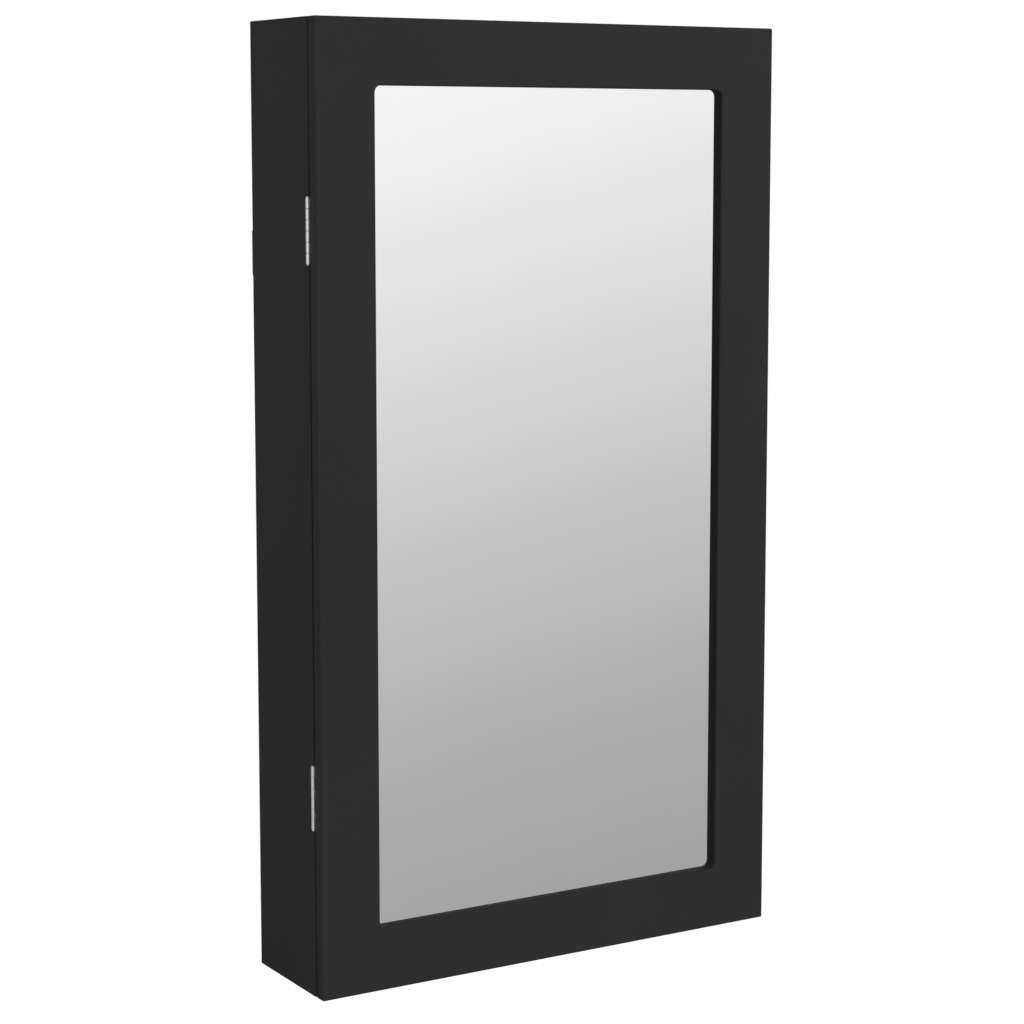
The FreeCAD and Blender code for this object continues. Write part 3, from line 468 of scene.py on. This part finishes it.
def mesh_object(name, points, faces, material):
    """A smooth-shaded mesh from points and faces."""
    mesh = bpy.data.meshes.new(name)
    mesh.from_pydata(points, [], faces)
    mesh.validate()
    if material:
        mesh.materials.append(material)
    for polygon in mesh.polygons:
        polygon.use_smooth = True
    piece = bpy.data.objects.new(name, mesh)
    bpy.context.scene.collection.objects.link(piece)
    return piece


def ring_faces(rings, around, start=0):
    """Quads between consecutive rings of points, closed around, with a fan over each end."""
    faces = []
    for ring in range(rings - 1):
        for step in range(around):
            following = (step + 1) % around
            first = start + ring * around
            second = first + around
            faces.append((first + step, first + following, second + following, second + step))
    faces.append(tuple(start + step for step in reversed(range(around))))
    last = start + (rings - 1) * around
    faces.append(tuple(last + step for step in range(around)))
    return faces


def wave(x, y, z, scale, amount):
    """A smooth, repeatable unevenness."""
    return amount * noise.noise(Vector((x, y, z)) * scale)


def sheet_points(low, high):
    """Rows of points over the front of a lining, then the same over its back."""
    across, up = LINING_GRID
    points = []
    for side in (0, 1):
        for row in range(up + 1):
            for column in range(across + 1):
                x = low.x + (high.x - low.x) * column / across
                z = low.z + (high.z - low.z) * row / up
                rim = min(x - low.x, high.x - x, z - low.z, high.z - z)
                ease = LINING_EASE * math.exp(-rim / LINING_EASE_WIDTH)
                ripple = abs(wave(x, 0, z, 28.0, LINING_RIPPLE))
                y = high.y if side else low.y + ease + ripple
                points.append((x, y, z))
    return points


def sheet_faces():
    """Quads over both sides of a lining and around its edge."""
    across, up = LINING_GRID
    layer = (across + 1) * (up + 1)
    faces = []
    for row in range(up):
        for column in range(across):
            corner = row * (across + 1) + column
            quad = (corner, corner + 1, corner + across + 2, corner + across + 1)
            faces.append(quad)
            faces.append(tuple(layer + index for index in reversed(quad)))
    rim = list(range(across))
    rim += [across + row * (across + 1) for row in range(up)]
    rim += [up * (across + 1) + column for column in range(across, 0, -1)]
    rim += [row * (across + 1) for row in range(up, 0, -1)]
    for first, second in zip(rim, rim[1:] + rim[:1]):
        faces.append((second, first, layer + first, layer + second))
    return faces


def velvet_sheet(name, node, body, material):
    """A velvet lining over its board: a thin closed sheet with softened edges and a faint ripple."""
    low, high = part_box(node)
    sheet = mesh_object(name, sheet_points(low, high), sheet_faces(), material)
    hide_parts(node)
    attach(sheet, body)


def stuffed(piece, held, most):
    """Swell a closed mesh as fabric over foam; the held points stay where they are."""
    piece.vertex_groups.new(name="held").add(held, 1.0, "REPLACE")
    cloth = piece.modifiers.new("swell", "CLOTH")
    cloth.settings.quality = CLOTH_QUALITY
    cloth.settings.mass = CLOTH_MASS
    cloth.settings.vertex_group_mass = "held"
    cloth.settings.use_pressure = True
    cloth.settings.uniform_pressure_force = SWELL_PRESSURE
    cloth.settings.effector_weights.gravity = 0.0
    cloth.point_cache.frame_end = SWELL_FRAMES
    for frame_number in range(1, SWELL_FRAMES + 1):
        bpy.context.scene.frame_set(frame_number)
    depsgraph = bpy.context.evaluated_depsgraph_get()
    swollen = bpy.data.meshes.new_from_object(piece.evaluated_get(depsgraph))
    for vertex, final in zip(piece.data.vertices, swollen.vertices):
        move = final.co - vertex.co
        vertex.co += move * min(1.0, most / max(move.length, 1e-9))
    piece.modifiers.remove(cloth)
    piece.vertex_groups.clear()
    bpy.data.meshes.remove(swollen)
    bpy.context.scene.frame_set(1)


def rib_section(depth, half_height, count):
    """A round-nosed outline as (depth from the back, height) pairs, evenly spaced from below."""
    straight = depth - half_height
    arc = math.pi * half_height
    whole = 2 * straight + arc
    outline = []
    for step in range(count):
        travel = whole * step / (count - 1)
        if travel < straight:
            outline.append((travel, -half_height))
        elif travel > straight + arc:
            outline.append((whole - travel, half_height))
        else:
            angle = (travel - straight) / half_height - math.pi / 2
            reach = straight + half_height * math.cos(angle)
            outline.append((reach, half_height * math.sin(angle)))
    return outline


def swollen_rib(length, depth, half_height, variant):
    """One rib of the ring cushion, lying along X from 0, its back at y = 0, swollen by its foam."""
    along, around = RIB_GRID
    scale = SWELL_SCALE
    faces = ring_faces(along + 1, around)
    outline = rib_section(depth, half_height, around)
    points = []
    for ring in range(along + 1):
        x = length * ring / along
        to_end = min(x, length - x)
        drawn = max(0.0, 1.0 - to_end / RIB_NOSE)
        size = math.sqrt(max(RIB_TIP, 1.0 - drawn * drawn))
        for reach, height in outline:
            soft = 1.0 + wave(x + variant, reach, height, 70.0, RIB_WAVE)
            points.append((x * scale, -reach * size * soft * scale, height * size * soft * scale))
    rib = mesh_object("rib", points, faces, None)
    back = [index for index, point in enumerate(points) if point[1] > -RIB_HELD * scale]
    stuffed(rib, back, RIB_LIMIT * scale)
    swollen = [vertex.co / scale for vertex in rib.data.vertices]
    bpy.data.objects.remove(rib)
    return swollen, faces


def ring_cushion(material):
    """The ring cushion: velvet-covered foam ribs with slits between, every other set turned round."""
    low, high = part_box("ring_cushion")
    pitch = (high.z - low.z) / RING_RIBS
    length = high.x - low.x - 2 * RIB_END_GAP
    depth = high.y - low.y - RIB_FACE_GAP
    half_height = pitch / 2 - RIB_SLIT
    shapes = [swollen_rib(length, depth, half_height, variant) for variant in range(RIB_SHAPES)]
    points, faces = [], []
    for number in range(RING_RIBS):
        shape, rib_faces = shapes[number % len(shapes)]
        turned = number // len(shapes) % 2
        start = len(points)
        z = low.z + (number + 0.5) * pitch
        for point in shape:
            x = length - point.x if turned else point.x
            points.append((low.x + RIB_END_GAP + x, high.y + point.y, z + point.z))
        for face in rib_faces:
            ordered = reversed(face) if turned else face
            faces.append(tuple(start + index for index in ordered))
    cushion = mesh_object("ring_cushion_velvet", points, faces, material)
    smoother(cushion)
    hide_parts("ring_cushion")
    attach(cushion, "case")


def smoother(piece):
    """One level of subdivision."""
    subdivision = piece.modifiers.new("smooth", "SUBSURF")
    subdivision.levels = 1
    subdivision.render_levels = 1


def bangle_roll(material):
    """The bangle rod's padded cover: gathered into its end caps, with a sewn seam below."""
    low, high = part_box("bangle_rod")
    middle = (low + high) / 2
    radius = (high.z - low.z) / 2 - ROLL_SLACK
    along, around = ROLL_GRID
    scale = SWELL_SCALE
    length = high.x - low.x
    points, held = [], []
    for ring in range(along + 1):
        x = length * ring / along
        to_end = min(x, length - x)
        gather = math.exp(-to_end / ROLL_GATHER)
        for step in range(around):
            angle = 2 * math.pi * step / around - math.pi / 2
            pleat = ROLL_PLEAT * gather * math.sin(ROLL_PLEATS * angle + 2 * math.sin(3 * angle))
            stitch = ROLL_STITCH_DEPTH * math.cos(2 * math.pi * x / ROLL_STITCH)
            seam = (stitch - ROLL_SEAM_DEPTH) if step == 0 else 0.0
            r = radius + pleat + seam + wave(x, angle / 8, 0, 40.0, ROLL_WAVE)
            spot = (x * scale, r * math.cos(angle) * scale, r * math.sin(angle) * scale)
            if step == 0 or ring in (0, 1, along - 1, along):
                held.append(len(points))
            points.append(spot)
    roll = mesh_object("bangle_rod_velvet", points, ring_faces(along + 1, around), material)
    stuffed(roll, held, ROLL_LIMIT * scale)
    start = Vector((low.x, middle.y, middle.z))
    for vertex in roll.data.vertices:
        vertex.co = start + vertex.co / scale
    smoother(roll)
    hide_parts("bangle_rod")
    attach(roll, "bangle_bar")


def felt_pads(material):
    """Two felt pads with a softened rim, low on the rear edges."""
    low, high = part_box("wall_pads")
    radius = (high.z - low.z) / 2
    middle_z = (low.z + high.z) / 2
    rings, around = PAD_GRID
    points, faces = [], []
    for x in (low.x + radius, high.x - radius):
        start = len(points)
        for ring in range(rings + 1):
            share = ring / rings
            y = low.y + (high.y - low.y) * share
            shrink = PAD_ROUND * max(0.0, (share - PAD_ROUND_FROM) / (1.0 - PAD_ROUND_FROM)) ** 2
            for step in range(around):
                angle = 2 * math.pi * step / around
                fray = abs(wave(math.cos(angle), math.sin(angle), share, 6.0, PAD_WAVE))
                r = radius - shrink - fray
                points.append((x + r * math.cos(angle), y, middle_z + r * math.sin(angle)))
        faces += [tuple(reversed(face)) for face in ring_faces(rings + 1, around, start)]
    pads = mesh_object("wall_pads_felt", points, faces, material)
    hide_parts("wall_pads")
    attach(pads, "case")


# ---------------------------------------------------------------- studio

def make_camera():
    """The photograph's viewpoint: a long lens from the front left, looking slightly down."""
    data = bpy.data.cameras.new("photo_camera")
    data.sensor_width = SENSOR_WIDTH
    data.lens = FOCAL_PIXELS * SENSOR_WIDTH / IMAGE_SIDE
    data.shift_y = CAMERA_SHIFT
    data.clip_start, data.clip_end = CAMERA_CLIP
    camera = bpy.data.objects.new("photo_camera", data)
    bpy.context.scene.collection.objects.link(camera)
    forward = Vector((
        math.sin(CAMERA_YAW) * math.cos(CAMERA_PITCH),
        math.cos(CAMERA_YAW) * math.cos(CAMERA_PITCH),
        -math.sin(CAMERA_PITCH),
    ))
    camera.rotation_mode = "QUATERNION"
    camera.rotation_quaternion = forward.to_track_quat("-Z", "Y")
    camera.location = CAMERA_PLACE
    bpy.context.scene.camera = camera


def studio_by_height(nodes, parts):
    """The grey that reflections see: white above, mid grey below, leaning a little across the mirror."""
    lean = nodes.remap(parts.outputs["X"], *STUDIO_LEAN_SPAN, STUDIO_LEAN, -STUDIO_LEAN)
    height = nodes.math("ADD", parts.outputs["Z"], lean)
    ramp = nodes.add("ShaderNodeValToRGB")
    nodes.link(nodes.remap(height, *STUDIO_HEIGHTS, 0.0, 1.0), ramp.inputs["Fac"])
    elements = ramp.color_ramp.elements
    while len(elements) < len(STUDIO_LEVELS):
        elements.new(0.5)
    for element, (position, level) in zip(elements, STUDIO_LEVELS):
        element.position = position
        element.color = grey(level)
    return ramp.outputs["Color"]


def studio_by_direction(nodes, direction, parts):
    """The share of it that is left towards the wall, to the left of the cabinet and overhead."""
    wallward = nodes.remap(parts.outputs["Y"], *WALLWARD_SPAN, 1.0, WALLWARD_SHINE)
    sideward = nodes.add("ShaderNodeVectorMath", operation="DOT_PRODUCT")
    nodes.link(direction, sideward.inputs[0])
    sideward.inputs[1].default_value = SIDEWARD
    dimmer = nodes.remap(sideward.outputs["Value"], *SIDEWARD_SPAN, 1.0, SIDEWARD_SHINE)
    overhead = nodes.remap(parts.outputs["Z"], *OVERHEAD_SPAN, 1.0, OVERHEAD_SHINE)
    return nodes.math("MULTIPLY", nodes.math("MULTIPLY", wallward, dimmer), overhead)


def background(nodes, colour, strength):
    """One background of the world."""
    node = nodes.add("ShaderNodeBackground")
    nodes.fill(node, Color=colour, Strength=strength)
    return node.outputs[0]


def shader_mix(nodes, factor, first, second):
    """The first shader where the factor is nought, the second where it is one."""
    node = nodes.add("ShaderNodeMixShader")
    nodes.link(factor, node.inputs["Fac"])
    nodes.link(first, node.inputs[1])
    nodes.link(second, node.inputs[2])
    return node.outputs[0]


def make_world():
    """Plain white for the camera and through clear pieces, and a darker studio for reflections."""
    world = bpy.data.worlds.new("studio")
    bpy.context.scene.world = world
    world.use_nodes = True
    nodes = Nodes(world.node_tree)
    output = nodes.add("ShaderNodeOutputWorld")
    direction = nodes.add("ShaderNodeTexCoord").outputs["Generated"]
    parts = nodes.add("ShaderNodeSeparateXYZ")
    nodes.link(direction, parts.inputs[0])
    rays = nodes.add("ShaderNodeLightPath")
    ambient = background(nodes, grey(1.0), AMBIENT)
    studio = studio_by_height(nodes, parts)
    mirrored = background(nodes, studio, studio_by_direction(nodes, direction, parts))
    white = background(nodes, grey(1.0), 1.0)
    unseen = shader_mix(nodes, rays.outputs["Is Glossy Ray"], ambient, mirrored)
    seen = nodes.math("MAXIMUM", rays.outputs["Is Camera Ray"], rays.outputs["Is Transmission Ray"])
    nodes.link(shader_mix(nodes, seen, unseen, white), output.inputs["Surface"])


def make_floor():
    """A pale floor well below the hung cabinet; reflections look past it to the studio."""
    side = FLOOR_SIDE / 2
    z = cad_low.z - FLOOR_DROP
    points = [(-side, -side, z), (side, -side, z), (side, side, z), (-side, side, z)]
    material = bpy.data.materials.new("pale_floor")
    material.use_nodes = True
    nodes = Nodes(material.node_tree)
    output = nodes.add("ShaderNodeOutputMaterial")
    matte = nodes.add("ShaderNodeBsdfDiffuse")
    matte.inputs["Color"].default_value = grey(FLOOR_GREY)
    glow = nodes.add("ShaderNodeEmission")
    nodes.fill(glow, Color=grey(1.0), Strength=FLOOR_GLOW)
    lit = nodes.add("ShaderNodeAddShader")
    nodes.link(matte.outputs[0], lit.inputs[0])
    nodes.link(glow.outputs[0], lit.inputs[1])
    clear = nodes.add("ShaderNodeBsdfTransparent")
    rays = nodes.add("ShaderNodeLightPath")
    through = nodes.math("MAXIMUM", rays.outputs["Is Glossy Ray"], rays.outputs["Is Transmission Ray"])
    nodes.link(shader_mix(nodes, through, lit.outputs[0], clear.outputs[0]), output.inputs["Surface"])
    floor = mesh_object("floor", points, [(0, 1, 2, 3)], material)


def area_lamp(name, place, target, power):
    """A square softbox aimed at a point, unseen in reflections."""
    data = bpy.data.lights.new(name, "AREA")
    data.shape = "SQUARE"
    data.size = LAMP_SIDE
    data.energy = power
    data.specular_factor = 0.0
    lamp = bpy.data.objects.new(name, data)
    bpy.context.scene.collection.objects.link(lamp)
    lamp.location = place
    lamp.rotation_mode = "QUATERNION"
    lamp.rotation_quaternion = (Vector(target) - Vector(place)).to_track_quat("-Z", "Y")
    lamp.visible_glossy = False


def make_lamps():
    """A broad key from the front right, a weaker fill from the left, and one behind for the back."""
    middle = (cad_low + cad_high) / 2
    for name, place, power in LAMPS:
        area_lamp(name, place, middle, power)


bpy.context.scene.view_settings.view_transform = "Standard"
finishes = make_materials()
dress_nodes(finishes)
velvet_sheet("back_lining_velvet", "back_lining", "case", finishes["velvet"])
velvet_sheet("door_lining_velvet", "door_lining", "door", finishes["velvet"])
ring_cushion(finishes["velvet"])
bangle_roll(finishes["velvet"])
felt_pads(finishes["felt"])
make_camera()
make_world()
make_floor()
make_lamps()
